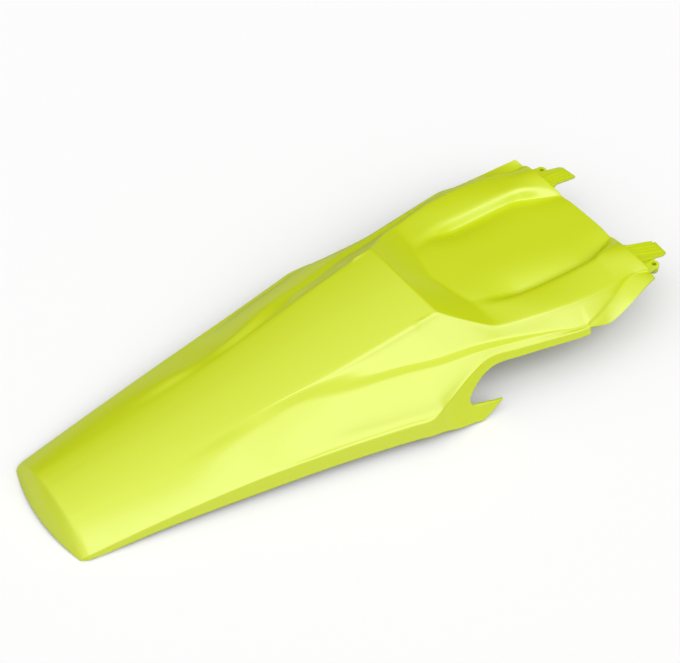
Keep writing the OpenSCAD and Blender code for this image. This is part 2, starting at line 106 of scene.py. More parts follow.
# Guide lines: station, then half width and height, read as smooth curves through their points
HALF_GROOVE = GROOVE_W / 2
CROWN = [[0, TAIL_H - 1], [200, BACK_H], [SEAT_X, SEAT_H - .2], [460, SEAT_H + 11.3]]
RIDGE = [
    [0, 30, 3.5], [100, 33, 3.5], [200, 38.5, 3.6], [300, 49.2, 4.8], [SEAT_X, RIDGE_W / 2, 5.4],
    [460, RIDGE_W / 2 + 3, 6],
]
RIM = [
    [CORNER_X, RIDGE_W / 2 + .17, SEAT_H - 5.4], [419, 66, 82.5], [434, 75.5, 77], [450, 84.3, 70.2],
    [469, 89.6, 68], [508, 97.5, 68.3], [550.4, 101.6, 66], [595.8, 101.2, 62.2], [623.8, 96.3, 60.3],
    [FRONT_X, 98.8, FRONT_H - 1.5],
]
WALL_TOP = [
    [RECESS_X, HALF_GROOVE - 18.5, RECESS_H - 1.1], [452, HALF_GROOVE - 2.5, RECESS_H - 3.5],
    [484, HALF_GROOVE + 3.8, RECESS_H - 4], [539, HALF_GROOVE + 6.7, 67.7], [598, HALF_GROOVE + 6, 67.9],
    [616, HALF_GROOVE + .5, 67.4], [FRONT_X, HALF_GROOVE - 9.5, FRONT_H + 1.4],
]
GROOVE = [
    [RECESS_X, HALF_GROOVE - 22.5, RECESS_H + .9], [452, HALF_GROOVE - 8.5, RECESS_H - 3.2],
    [473, HALF_GROOVE - 5.5, RECESS_H - 5.3], [488, HALF_GROOVE - 3.5, 64.7], [511, HALF_GROOVE - 1.5, 59.4],
    [588, HALF_GROOVE, 58.6], [605, HALF_GROOVE - 2, FRONT_H - .9],
    [FRONT_X, HALF_GROOVE - 18.5, FRONT_H - 2.4],
]
FLOOR = [
    [RECESS_X, RECESS_H + 3.4], [RAMP_X, RECESS_H], [543, (RECESS_H + FRONT_H) / 2], [FRONT_X, FRONT_H],
]
LEDGE = [
    [198, 46, 48.2], [245, 54.5, 57], [278, 63.2, 59.9], [344, 76, 59.9], [385, 86.7, 59.3],
    [428, 93.5, 58.8], [472, 103, 55.9], [504, 111.5, 53.6], [544, WING_W / 2 - 3.5, 50], [585, 110.5, 54.5],
    [625, 96.7, 58.6], [FRONT_X, 101, FRONT_H - 2],
]
SHOULDER = [
    [LIP_X, TAIL_W / 2 + 4.2, 5.6], [92, 77.2, 16.7], [175, 89.6, 24.4], [262, 105, 28.3],
    [339, SHOULDER_W / 2 - 3, 29.7], [351, SHOULDER_W / 2, 29.3], [377, 116.6, 36], [407, 108.3, 46.1],
    [434, WAIST_W / 2, 52.3], [467, 110.3, 51], [534, WING_W / 2 - 1.5, 47.9], [WING_X, WING_W / 2, 47.5],
    [576, WING_W / 2 + 2.1, 42.1], [642, 113, 57.9], [FRONT_X, 112, 58.5],
]
HEM = [
    [LIP_X, 1.2], [92, 6], [176, 9], [263, SKIRT_H], [352, SKIRT_H - .3], [380, SKIRT_H / 2 - .25],
    [HOOK_CORNER_X, 0],
]
CUT = [[399, 18.2], [408, 14], [418, 11.6], [434, 9.8], [452, 8.4], [500, 7.4], [WING_X, 7]]
SLIT_SHARE = .441

# Small forms of the shell, in millimetres unless the name says a share, a fall, a lean or a power
RAMP_FALL = .558
RAMP_EASE = .0029
RAMP_DROP = 5.3
RAMP_BOW = 4.3
FLOOR_ROLL = 4
SHELF_SWELL = 1.2
FRONT_SWELL = 6.8
FILLET = 1.4
GROOVE_SHARE = .655
WALL_SHARE = .73
ARCH_POWER = 2.1
JOGGLE = 2.6
JOGGLE_RUN = 1.5
JOGGLE_FADE = .1
# Width and drop of the strip under the ridge, and what its foot and the rim of the recess add to them
STRIP_W = 1.2
STRIP_DROP = 1.1
FOOT_W = 3
FOOT_DROP = 4.2
RIM_W = 1.8
RIM_DROP = 2
# Half width of the soft ledge along the flank, what the lap adds to it, and its slope
LAP = .8
LAP_MORE = 3.4
LAP_TILT = .25
# Width of the flat strip above the shoulder, what the nip adds to it, and its slope
NIP = 1
NIP_MORE = 5
NIP_TILT = .25
FLANGE_NIP = .8
FLANGE_SHARE = .88
# Shares of the way from the ledge to the strip where the flank has corners, and how far they stand out and up
FLANK_SHARES = (.35, .7, 1)
FLANK_SWELLS = ((1.2, 2.1), (1.6, 2.7), (.4, .7))
# Stations around a point whose ridge is averaged where the rim turns its corner
EVEN_STEPS = (-14, -7, 0, 7, 14)
SKIRT_LEAN = .35
BEVEL_LEAN = .5
HOOK_FLARE = .017
FOOT_BOW = 10.7
ARCH_Y = 45
ARCH_BACK = 7.5
FLANGE_BACK = 5.5
LIP_RISE = 2.7
LIP_SWELL = 1.2
LIP_TURN = .8
HEM_IN = (15, 110)
HEM_RADIUS = 3
HEM_SHARE = .85
EDGE_ROUND_IN = .8
NOTCH_RUN = 4
NOTCH_H = 18.5
TIP_EDGE = 1.2


def mix(a, b, t):
    return a + (b - a) * t


def grow(reach, x):
    t = np.clip((x - reach[0]) / (reach[1] - reach[0]), 0, 1)
    return t * t * (3 - 2 * t)


def hump(rising, falling, x):
    return grow(rising, x) * (1 - grow(falling, x))


def soft_min(a, b, k):
    h = np.clip(k - np.abs(a - b), 0, None) / k
    return np.minimum(a, b) - h * h * k / 4


def soft_max(a, b, k):
    return -soft_min(-a, -b, k)


def guide(line, x):
    """Values of a guide line at the stations x, one array for each value."""
    table = np.asarray(line, float)
    knots = table[:, 0]
    values = table[:, 1:]
    slopes = np.empty_like(values)
    slopes[1:-1] = (values[2:] - values[:-2]) / (knots[2:] - knots[:-2])[:, None]
    slopes[0] = (values[1] - values[0]) / (knots[1] - knots[0])
    slopes[-1] = (values[-1] - values[-2]) / (knots[-1] - knots[-2])
    x = np.clip(x, knots[0], knots[-1])
    i = np.clip(np.searchsorted(knots, x, side="right") - 1, 0, len(knots) - 2)
    h = (knots[i + 1] - knots[i])[..., None]
    s = ((x - knots[i])[..., None]) / h
    out = (
        (2 * s**3 - 3 * s**2 + 1) * values[i] + (s**3 - 2 * s**2 + s) * h * slopes[i]
        + (3 * s**2 - 2 * s**3) * values[i + 1] + (s**3 - s**2) * h * slopes[i + 1]
    )
    return np.moveaxis(out, -1, 0)


def back_z(x, y):
    half, drop = guide(RIDGE, x)
    return guide(CROWN, x)[0] - drop * (y / half) ** 2


def ramp_z(x, y):
    out = (2 * y / RIDGE_W) ** 2
    return SEAT_H - RAMP_DROP * out - (RAMP_FALL - RAMP_EASE * y) * (x - ROOT_X + .6 - RAMP_BOW * out)


def recess_z(x, y):
    groove_half, groove_low = guide(GROOVE, x)
    wall_half, wall_high = guide(WALL_TOP, x)
    rim_half, rim_high = guide(RIM, x)
    middle = guide(FLOOR, x)[0]
    floor = mix(middle, groove_low, np.clip(y / (groove_half - GROOVE_FLAT), 0, 1) ** FLOOR_ROLL)
    side = mix(groove_low, wall_high, np.clip((y - groove_half) / (wall_half - groove_half), 0, 1))
    t = np.clip((y - wall_half) / (rim_half - wall_half), 0, 1)
    swell = SHELF_SWELL * grow(SHELF_IN, x) + FRONT_SWELL * grow(ARCH_IN, x)
    shelf = mix(wall_high, rim_high, t) + 4 * t * (1 - t) * swell
    return np.where(y < groove_half, floor, np.where(y < wall_half, side, shelf))


def top_z(x, y):
    back = back_z(x, y)
    front = soft_max(soft_min(back, ramp_z(x, y), FILLET), recess_z(x, y), FILLET)
    return np.where(x < CREST_X, back, front)


def edge_y(x):
    return np.where(x < CORNER_X, guide(RIDGE, x)[0], guide(RIM, x)[0])


def groove_y(x):
    return np.where(x < RECESS_X, GROOVE_SHARE * edge_y(x), guide(GROOVE, x)[0])


def wall_y(x):
    return np.where(x < RECESS_X, WALL_SHARE * edge_y(x), guide(WALL_TOP, x)[0])


# Rows run from the middle to the shoulder. A row's place is a number: floor 0 to 1, groove 1 to 2,
# recess wall 2 to 3, shelf 3 to 4, and then seven stretches of the flank out to the shoulder at 11.
INSIDE = 4
FLANK = 7


def top_of_flank(x):
    """Where the flank hangs from: the ridge, with its sharp bend at the corner of the rim evened out."""
    near = [x + n for n in EVEN_STEPS]
    share = hump(EVEN_IN, EVEN_OUT, x)
    half = mix(edge_y(x), sum(edge_y(n) for n in near) / len(near), share)
    high = mix(top_z(x, edge_y(x)), sum(top_z(n, edge_y(n)) for n in near) / len(near), share)
    return half, high


def flank_knots(x):
    """The eight corner points of the flank at each station, as (y, z) pairs."""
    edge_half = edge_y(x)
    edge_high = top_z(x, edge_half)
    ledge_half, ledge_high = guide(LEDGE, x)
    end_half, end_high = guide(SHOULDER, x)
    crown = guide(CROWN, x)[0]
    built = grow(BUILD_IN, x)
    flange = grow(FLANGE_IN, x)
    foot = hump(FOOT_IN, FOOT_OUT, x)
    crest = hump(CREST_IN, CREST_OUT, x)
    front = grow(JOGGLE_OUT, x)
    lap = mix(LAP + LAP_MORE * hump(LAP_IN, LAP_OUT, x), JOGGLE_RUN / 2, flange)
    nip = mix(NIP + NIP_MORE * hump(NIP_IN, NIP_OUT, x), FLANGE_NIP, flange)
    drop = JOGGLE * flange * (1 - JOGGLE_FADE * front)
    inner = (ledge_half - lap, ledge_high + LAP_TILT * lap + drop / 2)
    outer = (ledge_half + lap, ledge_high - LAP_TILT * lap - drop / 2)
    last = (
        mix(end_half - nip, mix(outer[0], end_half, FLANGE_SHARE), flange),
        mix(end_high + NIP_TILT * nip, mix(outer[1], end_high, FLANGE_SHARE), flange),
    )
    width = STRIP_W + FOOT_W * foot + RIM_W * crest
    fall = STRIP_DROP * built + FOOT_DROP * foot + RIM_DROP * crest
    swell = hump(SWELL_IN, SWELL_OUT, x)
    knots = [(edge_half, edge_high), (edge_half + width, edge_high - fall), inner, outer]
    for place, stand in zip(FLANK_SHARES, FLANK_SWELLS):
        knots.append(tuple(mix(outer[n], last[n], place) + swell * stand[n] for n in (0, 1)))
    knots.append((end_half, end_high))
    shift = edge_high - (crown - (crown - end_high) * (edge_half / end_half) ** ARCH_POWER)
    out = []
    for n, (y, z) in enumerate(knots):
        share = n / FLANK
        plain_y = mix(edge_half, end_half, share)
        plain_z = crown - (crown - end_high) * (plain_y / end_half) ** ARCH_POWER + shift * (1 - share)
        out.append((mix(plain_y, y, built), mix(plain_z, z, built)))
    return np.array(out)


def inside_y(x, row):
    """Half width of the rows inside the rim."""
    groove = groove_y(x)
    wall = wall_y(x)
    return (
        np.clip(row, 0, 1) * (groove - GROOVE_FLAT) + np.clip(row - 1, 0, 1) * GROOVE_FLAT
        + np.clip(row - 2, 0, 1) * (wall - groove) + np.clip(row - 3, 0, 1) * (edge_y(x) - wall)
    )


def section(x, row):
    """Half width and height of the rows at the stations x. Both arrays have one shape."""
    y = inside_y(x, row)
    z = top_z(x, y)
    knots = flank_knots(x)
    place = np.clip(row - INSIDE, 0, FLANK)
    i = np.clip(place.astype(int), 0, FLANK - 1)
    t = place - i
    low = np.take_along_axis(knots, i[None, None], 0)[0]
    high = np.take_along_axis(knots, i[None, None] + 1, 0)[0]
    flank = low + (high - low) * t
    ease = np.where(i == 1, 4 * t * (1 - t) ** 2, 0)
    flank = flank + ease * (np.array(top_of_flank(x)) - knots[0])
    out = row > INSIDE
    return np.where(out, flank[0], y), np.where(out, flank[1], z)


def bow(x):
    both = RAMP_BOW + FOOT_BOW
    return RAMP_BOW * grow(RAMP_BOW_IN, x) + FOOT_BOW * grow(FOOT_BOW_IN, x) - both * grow(BOW_OUT, x)


def bowed(x, row):
    """Stations of the rows: they bow forward with the ramp and draw back at the front edge."""
    edge = edge_y(x)
    y = inside_y(x, row)
    inside = row <= INSIDE
    out = np.where(inside, 0, np.clip((row - INSIDE) / FLANK, 0, 1))
    share = np.where(inside, np.minimum(1, (y / edge) ** 2), 1 - out)
    t = np.where(inside, np.clip((y - ARCH_Y) / (edge - ARCH_Y), 0, 1), 0)
    return x + bow(x) * share - (4 * t * (1 - t) * ARCH_BACK + FLANGE_BACK * out) * grow(ARCH_IN, x)


def skirt_y(x, z):
    half, high = guide(SHOULDER, np.minimum(x, SEAT_X))
    lean = mix(SKIRT_LEAN, HOOK_LEAN, grow(LEAN_IN, x))
    return half + lean * (high - z) + HOOK_FLARE * np.clip(x - SEAT_X, 0, None)


def slit_z(x):
    high = guide(SHOULDER, x)[1]
    return np.where(x <= ROOT_X, mix(high, guide(HEM, x)[0], SLIT_SHARE), high - guide(CUT, x)[0])


def bevel_y(x, z):
    half, high = guide(SHOULDER, x)
    front = half + mix(HOOK_LEAN, BEVEL_LEAN, grow((SEAT_X, WING_X), x)) * (high - z)
    return np.where(x < SEAT_X, skirt_y(x, z), front)


def spread(stops, counts):
    """A rising list of numbers through the stops, with that many steps between each two."""
    parts = [np.linspace(a, b, n, endpoint=False) for a, b, n in zip(stops, stops[1:], counts)]
    return np.append(np.concatenate(parts), stops[-1])


def surface(x, row):
    """Points of the outer surface, with its corners still sharp."""
    x, row = np.broadcast_arrays(x, row)
    station = bowed(x, row)
    y, z = section(station, row)
    return np.stack([station, y, z], -1)


def bevel_point(x, share):
    """Points of the face from the shoulder down to the slit row."""
    x, share = np.broadcast_arrays(x, share)
    high = guide(SHOULDER, x)[1]
    z = mix(high, slit_z(x), share)
    return np.stack([x, bevel_y(x, z), z], -1)


SHOULDER_KNOT = INSIDE + FLANK
# How far from its corner a rounding starts: by the tail, at each knot further forward, and along the joggle
PLAIN_REACH = 12
CRISP_REACH = {1: 2.5, 2: 1.2, 3: 4, 4: 3, 5: 3, 6: 1.8, 7: 1.8, 8: 9, 9: 9, 10: 3}
JOGGLE_KNOTS = (6, 7)
JOGGLE_REACH = .5
# The same at the shoulder: by the tail, along the skirt, along the notch, and in front of the wing
TAIL_REACH = 1.2
SKIRT_REACH = 2.4
NOTCH_REACH = 1
WING_REACH = .02


def corner_radius(knot, x):
    """How far from its corner the rounding of a knot starts."""
    built = grow(CREASE_IN, x)
    if knot == SHOULDER_KNOT:
        behind = mix(SKIRT_REACH, NOTCH_REACH, grow(NIP_OUT, x))
        return mix(TAIL_REACH, mix(behind, WING_REACH, grow((WING_X - 3, WING_X), x)), built)
    crisp = CRISP_REACH[knot]
    if knot in JOGGLE_KNOTS:
        crisp = mix(crisp, JOGGLE_REACH, grow(FLANGE_IN, x))
    return mix(PLAIN_REACH, crisp, built)


# Steps of the rows between two roundings and inside each, stations along the fender, and rows of the skirt
SPAN_STEPS = [12, 2, 3, 9, 2, 8, 2, 5, 5, 4, 2]
CORNER_STEPS = 4
BEVEL_STEPS = 5
CREASE_ROUND = 2.5
STATIONS = spread(
    [LIP_X + CREASE_ROUND, 40, 362, 392, ROOT_X, 405, 430, 446, 470, 520, 542, 552, 600, FRONT_X],
    [5, 38, 8, 8, 7, 11, 14, 10, 12, 6, 10, 14, 24],
)
SKIRT_ROWS = spread([0, .7, 1], [8, 9])
HOOK_STEPS = spread([0, NOTCH_RUN / (HOOK_TIP_X - ROOT_X), 1], [6, 14])[1:]
LIP_STEPS = np.linspace(0, .91, 12)
# The most that one rounding takes of the stretch between two knots
LONGEST_SHARE = .44
# Reaches over which the wall's directions are evened, across and along
EVEN_ACROSS = 2.2
EVEN_ALONG = 2.5


def reach_shares(knot, x):
    """Shares of the stretch from knot to knot + 1 that the two roundings take."""
    a = surface(x, knot)
    b = surface(x, knot + 1)
    length = np.linalg.norm(b - a, axis=-1)
    first = corner_radius(knot, x) if knot else 0
    last = corner_radius(knot + 1, x)
    return np.clip(first / length, 0, LONGEST_SHARE), np.clip(last / length, 0, LONGEST_SHARE)


def rounding(a, corner, b):
    """Inner points of an arc that touches both sides of a corner."""
    out = []
    for n in range(1, CORNER_STEPS):
        t = n / CORNER_STEPS
        out.append((1 - t) ** 2 * a + 2 * t * (1 - t) * corner + t * t * b)
    return out


def outer_rows(x):
    """Rows of the surface at the stations x, from the middle to the slit row, with rounded corners."""
    rows = []
    shares = [reach_shares(k, x) for k in range(SHOULDER_KNOT)]
    for k, steps in enumerate(SPAN_STEPS):
        first, last = shares[k]
        for n in range(steps + 1):
            rows.append(surface(x, k + mix(first, 1 - last, n / steps)))
        corner = surface(x, k + 1)
        if k + 1 < SHOULDER_KNOT:
            rows += rounding(rows[-1], corner, surface(x, k + 1 + shares[k + 1][0]))
    shoulder = len(rows) + CORNER_STEPS // 2
    depth = np.linalg.norm(bevel_point(x, 1) - corner, axis=-1)
    start = np.clip(corner_radius(SHOULDER_KNOT, x) / depth, 0, .5)
    rows += rounding(rows[-1], corner, bevel_point(x, start))
    for n in range(BEVEL_STEPS + 1):
        rows.append(bevel_point(x, mix(start, 1, n / BEVEL_STEPS)))
    return np.stack(rows, 1), shoulder


def lip_low(points):
    share = TAIL_W / 2 / guide(SHOULDER, np.array([float(LIP_X)]))[0][0]
    y = points[..., 1] * share
    sag = 1 - (y / (TAIL_W / 2)) ** 2
    return np.stack([-LIP_BULGE * sag, y, np.clip(LIP_RISE * sag, 0, None)], -1)


def with_lip(crease, grid, swell):
    """Puts the lip in front of a grid: from its low edge up, then over the crease in a small arc."""
    low = lip_low(crease)
    f = LIP_STEPS[:, None, None]
    points = low + (crease - low) * f
    bump = swell * 4 * f[..., 0] * (1 - f[..., 0])
    points[..., 0] -= bump
    points[..., 2] += bump / 2
    return np.concatenate([points, np.stack(rounding(points[-1], crease, grid[0])), grid], 0)


def skirt_points(x, share):
    z = mix(slit_z(x), guide(HEM, x)[0], share)
    return np.stack([x + 0 * z, skirt_y(x, z), z], -1)


def hook_points(step, share):
    """Points of the hook, forward of the root of the notch."""
    x = mix(ROOT_X, HOOK_TIP_X, step)
    notch_x = ROOT_X + NOTCH_RUN
    root_z = float(slit_z(np.array([ROOT_X]))[0])
    t = np.clip((x - ROOT_X) / (notch_x - ROOT_X), 0, 1)
    upper = np.where(
        x < notch_x, mix(root_z, NOTCH_H, np.sqrt(1 - (1 - t) ** 2)),
        mix(NOTCH_H, HOOK_TIP_H + TIP_EDGE, (x - notch_x) / (HOOK_TIP_X - notch_x)),
    )
    rise = (x - HOOK_CORNER_X) / (HOOK_TIP_X - HOOK_CORNER_X)
    lower = np.where(x < HOOK_CORNER_X, guide(HEM, x)[0], HOOK_TIP_H * rise)
    z = mix(upper, lower, share)
    return np.stack([x + 0 * z, skirt_y(x, z), z], -1)


def column(stations, value):
    return int(np.argmin(np.abs(stations - value)))


def outer_grids():
    """Shell grid, columns by rows from the middle to the slit row, and skirt grid from the slit row down."""
    top, shoulder = outer_rows(STATIONS)
    crease = outer_rows(np.array([float(LIP_X)]))[0][0]
    shell = with_lip(crease, top, LIP_SWELL)
    root = column(STATIONS, ROOT_X)
    share = SKIRT_ROWS[None, :]
    skirt = np.concatenate([
        skirt_points(STATIONS[: root + 1, None], share), hook_points(HOOK_STEPS[:, None], share),
    ])
    skirt_crease = skirt_points(np.array([[float(LIP_X)]]), share)[0]
    return shell, with_lip(skirt_crease, skirt, 0), shoulder


def normals(grid):
    """Unit normals of a grid, pointing out of the top."""
    along = np.gradient(grid, axis=0)
    across = np.gradient(grid, axis=1)
    across[:, 0] = [0, 1, 0]
    return unit(np.cross(along, across))


def unit(v):
    return v / np.linalg.norm(v, axis=-1, keepdims=True)


def evened(n, points, axis, reach):
    """Averages directions with their neighbours along one axis, over about that many millimetres."""
    lines = np.moveaxis(points, axis, 1)
    values = np.moveaxis(n, axis, 1)
    steps = np.linalg.norm(np.diff(lines, axis=1), axis=-1)
    place = np.concatenate([np.zeros((len(lines), 1)), np.cumsum(steps, 1)], 1)
    width = np.zeros_like(place)
    width[:, 1:] += steps / 2
    width[:, :-1] += steps / 2
    weight = np.exp(-((place[:, :, None] - place[:, None, :]) / reach) ** 2) * (width[:, None, :] + 1e-4)
    out = np.einsum("lij,ljc->lic", weight, values)
    return np.moveaxis(unit(out), 1, axis)


def wall_normals(grid):
    n = evened(normals(grid), grid, 1, EVEN_ACROSS)
    n = evened(n, grid, 0, EVEN_ALONG)
    n[:, 0, 1] = 0
    return unit(n)


def inner_grids(shell, skirt, shoulder):
    """The same grids moved in by the wall."""
    lip = len(shell) - len(STATIONS)
    last = shoulder - CORNER_STEPS // 2
    top = shell[lip:]
    whole = wall_normals(top)[:, : shoulder + 1]
    plain = wall_normals(top[:, : last + 1])
    plain = np.concatenate([plain, np.repeat(plain[:, -1:], shoulder - last, 1)], 1)
    flange = grow((WING_X - 4, WING_X), STATIONS)[:, None, None]
    inner = shell.copy()
    inner[lip:, : shoulder + 1] -= WALL * unit(mix(whole, plain, flange))
    side = WALL * math.sqrt(1 + HOOK_LEAN**2)
    high = inner[lip:, shoulder, 2][:, None]
    stations = STATIONS[:, None]
    rows = shell.shape[1] - 1 - shoulder
    share = np.arange(1, rows + 1)[None, :] / rows
    behind = mix(high, guide(HEM, stations)[0], SLIT_SHARE * share)
    z = np.where(stations <= ROOT_X, behind, mix(high, slit_z(stations), share))
    inner[lip:, shoulder + 1:] = np.stack([stations + 0 * z, bevel_y(stations + 0 * z, z) - side, z], -1)
    root = column(STATIONS, ROOT_X)
    inner_skirt = skirt.copy()
    stations = stations[: root + 1]
    z = mix(high[: root + 1], guide(HEM, stations)[0], mix(SLIT_SHARE, 1, SKIRT_ROWS)[None, :])
    inner_skirt[lip: lip + root + 1] = np.stack([stations + 0 * z, skirt_y(stations, z) - side, z], -1)
    inner_skirt[lip + root + 1:, :, 1] -= side
    for grid, outer in ((inner, shell), (inner_skirt, skirt)):
        low = outer[0].copy()
        turn = LIP_TURN * (low[:, 1] / (TAIL_W / 2)) ** 3
        low = low + WALL * unit(np.stack([np.ones(len(low)), -turn, np.zeros(len(low))], -1))
        f = (np.arange(lip) / lip)[:, None, None]
        grid[:lip] = low + (grid[lip] - low) * f
    return inner, inner_skirt


def hem_roll(skirt):
    """Rolls the lowest part of the outer skirt inward, as a bead along the hem."""
    rise = np.clip(skirt[:, :, 2] - skirt[:, -1:, 2], 0, HEM_RADIUS)
    depth = HEM_RADIUS - np.sqrt(HEM_RADIUS**2 - (HEM_RADIUS - rise) ** 2)
    skirt[:, :, 1] -= HEM_SHARE * grow(HEM_IN, skirt[:, :, 0]) * depth


def fender_mesh():
    """Vertices and faces of the whole shell, both halves, as one closed surface."""
    shell, skirt, shoulder = outer_grids()
    shell_in, skirt_in = inner_grids(shell, skirt, shoulder)
    hem_roll(skirt)
    lip = len(shell) - len(STATIONS)
    slit = shell.shape[1] - 1
    shoulder -= CORNER_STEPS // 2
    root = lip + column(STATIONS, ROOT_X)
    wing = lip + column(STATIONS, WING_X)
    last = shell.shape[0] - 1
    tip = skirt.shape[0] - 1
    deep = skirt.shape[1] - 1
    shell_ids = np.arange(shell.shape[0] * shell.shape[1]).reshape(shell.shape[:2])
    skirt_ids = np.arange(skirt.shape[0] * skirt.shape[1]).reshape(skirt.shape[:2]) + shell_ids.size
    skirt_ids[: root + 1, 0] = shell_ids[: root + 1, slit]
    layer = shell_ids.size + skirt.shape[0] * skirt.shape[1]
    outer = np.concatenate([shell.reshape(-1, 3), skirt.reshape(-1, 3)])
    inner = np.concatenate([shell_in.reshape(-1, 3), skirt_in.reshape(-1, 3)])
    loop = np.concatenate([
        shell_ids[0, : slit + 1], skirt_ids[0, 1:], skirt_ids[1:, deep], skirt_ids[tip, :deep][::-1],
        skirt_ids[root:tip, 0][::-1], shell_ids[root + 1: wing + 1, slit],
        shell_ids[wing, shoulder:slit][::-1], shell_ids[wing + 1:, shoulder],
        shell_ids[last, :shoulder][::-1],
    ])
    inward_ids = np.concatenate([
        shell_ids[1, : slit + 1], skirt_ids[1, 1:], skirt_ids[1:, deep - 1], skirt_ids[tip - 1, :deep][::-1],
        skirt_ids[root:tip, 1][::-1], shell_ids[root + 1: wing + 1, slit - 1],
        shell_ids[wing - 1, shoulder:slit][::-1], shell_ids[wing + 1:, shoulder - 1],
        shell_ids[last - 1, :shoulder][::-1],
    ])
    away = unit((outer[loop] - outer[inward_ids]) + (inner[loop] - inner[inward_ids]))
    away[[0, -1], 1] = 0
    away = unit(away)
    start = outer[loop].copy()
    finish = inner[loop].copy()
    back = away * EDGE_ROUND_IN
    middle = (start + finish) / 2 - back
    reach = (start - finish) / 2
    angles = [math.radians(a) for a in (30, 60, 90, 120, 150)]
    arcs = [middle + reach * math.cos(a) + back * math.sin(a) for a in angles]
    outer[loop] = start - back
    inner[loop] = finish - back
    points = np.concatenate([outer, inner] + arcs)
    half = len(points)
    arc_ids = [2 * layer + n * len(loop) + np.arange(len(loop)) for n in range(len(angles))]
    both = np.concatenate([points, points * [1, -1, 1]])
    ring = np.stack([loop] + arc_ids + [loop + layer])
    quads = []

    def patch(ids):
        return np.stack([ids[:-1, :-1], ids[1:, :-1], ids[1:, 1:], ids[:-1, 1:]], -1).reshape(-1, 4)

    for ids in (shell_ids[: wing + 1], shell_ids[wing:, : shoulder + 1], skirt_ids):
        quads.append(patch(ids))
        quads.append(patch(ids)[:, ::-1] + layer)
    quads.append(patch(ring)[:, ::-1])
    quads = np.concatenate(quads)
    mirror = np.arange(half) + half
    on_middle = np.abs(points[:, 1]) < 1e-6
    mirror[on_middle] = np.arange(half)[on_middle]
    quads = np.concatenate([quads, mirror[quads][:, ::-1]])
    used, compact = np.unique(quads, return_inverse=True)
    return both[used], compact.reshape(quads.shape)


def placed(points):
    """Millimetres from the tail corners to metres in the frame."""
    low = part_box("rear_fender")[0]
    return np.asarray(points) * MM + np.array([low[0] + LIP_BULGE * MM, 0, 0])


def make_object(name, points, faces):
    mesh = bpy.data.meshes.new(name)
    mesh.from_pydata([tuple(p) for p in placed(points)], [], [tuple(f) for f in faces])
    mesh.update()
    obj = bpy.data.objects.new(name, mesh)
    bpy.context.scene.collection.objects.link(obj)
    return obj


# The ears, with places measured forward from the front edge of the shell and out from the middle
EAR_WALL = 2.6
EAR_FALL = math.radians(13.4)
EAR_H = 56
SCREW_D = 5.2
SCREW_X = 15.5
SCREW_Y = 91
TAB_H = 48.6
TAB_IN = 83.6
TAB_OUT = 100
TAB_BACK = 12
BOSS_LEN = 9
BOSS_WALL = 3.2
LEAF_BACK = 10
LEAF_IN = 55
LEAF_OUT = 85.4
RIB_COUNT = 4
RIB_W = 1.5
RIB_H = 1.2
RIB_START = 57.4
RIB_PITCH = 4.1
# How far the first rib runs outward over its length, and how much more each next one does
RIB_SLANT = 5.8
RIB_SLANT_MORE = 1.4
RIB_BACK = 18
RIB_END = EAR_REACH - 4
WEB_IN = 82.2
WEB_WALL = 2
WEB_END = EAR_REACH - 9
EDGE_ROUND = .35
BAR_SIDES = 48


def leaf_z(x):
    return EAR_H - math.tan(EAR_FALL) * x


def prism(low, high, rounding_mm=EDGE_ROUND):
    """A closed solid between two outlines with the same number of points, its edges lightly rounded."""
    n = len(low)
    faces = [list(range(n)), list(range(n, 2 * n))]
    faces += [[i, (i + 1) % n, n + (i + 1) % n, n + i] for i in range(n)]
    obj = make_object("ear_part", np.array(list(low) + list(high), float) + [FRONT_X, 0, 0], faces)
    work = bmesh.new()
    work.from_mesh(obj.data)
    bmesh.ops.recalc_face_normals(work, faces=work.faces)
    if rounding_mm:
        bmesh.ops.bevel(
            work, geom=work.edges[:], offset=rounding_mm * MM, segments=2, profile=.5, affect="EDGES",
            clamp_overlap=True,
        )
    work.to_mesh(obj.data)
    work.free()
    return obj


def combine(obj, other, operation):
    step = obj.modifiers.new("step", "BOOLEAN")
    step.solver = "MANIFOLD"
    step.operation = operation
    step.object = other
    bpy.context.view_layer.objects.active = obj
    bpy.ops.object.modifier_apply(modifier=step.name)
    bpy.data.objects.remove(other)


def leaf(side):
    """The sloping plate of an ear, which reaches out to its web."""
    end = EAR_REACH / math.cos(EAR_FALL)
    outline = [
        (-LEAF_BACK, LEAF_IN), (2, LEAF_IN + .7), (15, LEAF_IN + 6.2), (29, LEAF_IN + 7.2),
        (end, LEAF_IN + 9.7), (end - 2.5, LEAF_OUT - 1.9), (end - 8, LEAF_OUT + .2), (25, LEAF_OUT),
        (-LEAF_BACK, LEAF_OUT),
    ]
    c, t = math.cos(EAR_FALL), math.sin(EAR_FALL)
    return prism(*[
        [(x * c + z * t, side * y, EAR_H - x * t + z * c) for x, y in outline] for z in (-EAR_WALL, 0)
    ])


def rib(i, side):
    start = RIB_START + RIB_PITCH * i
    turn = math.atan((RIB_SLANT + RIB_SLANT_MORE * i) / (RIB_END + RIB_BACK))
    outline = [
        (-RIB_BACK, 64.9), (-9.5, 64.6), (-8, 61), (-4, 58.6), (2, leaf_z(2) + RIB_H),
        (RIB_END, leaf_z(RIB_END) + RIB_H), (RIB_END, leaf_z(RIB_END) - 1),
        (-RIB_BACK, leaf_z(-LEAF_BACK) - 1),
    ]
    c, t = math.cos(turn), math.sin(turn)
    return prism(*[
        [
            ((x + RIB_BACK) * c - y * t - RIB_BACK, side * (start + (x + RIB_BACK) * t + y * c), z)
            for x, z in outline
        ]
        for y in (-RIB_W / 2, RIB_W / 2)
    ])


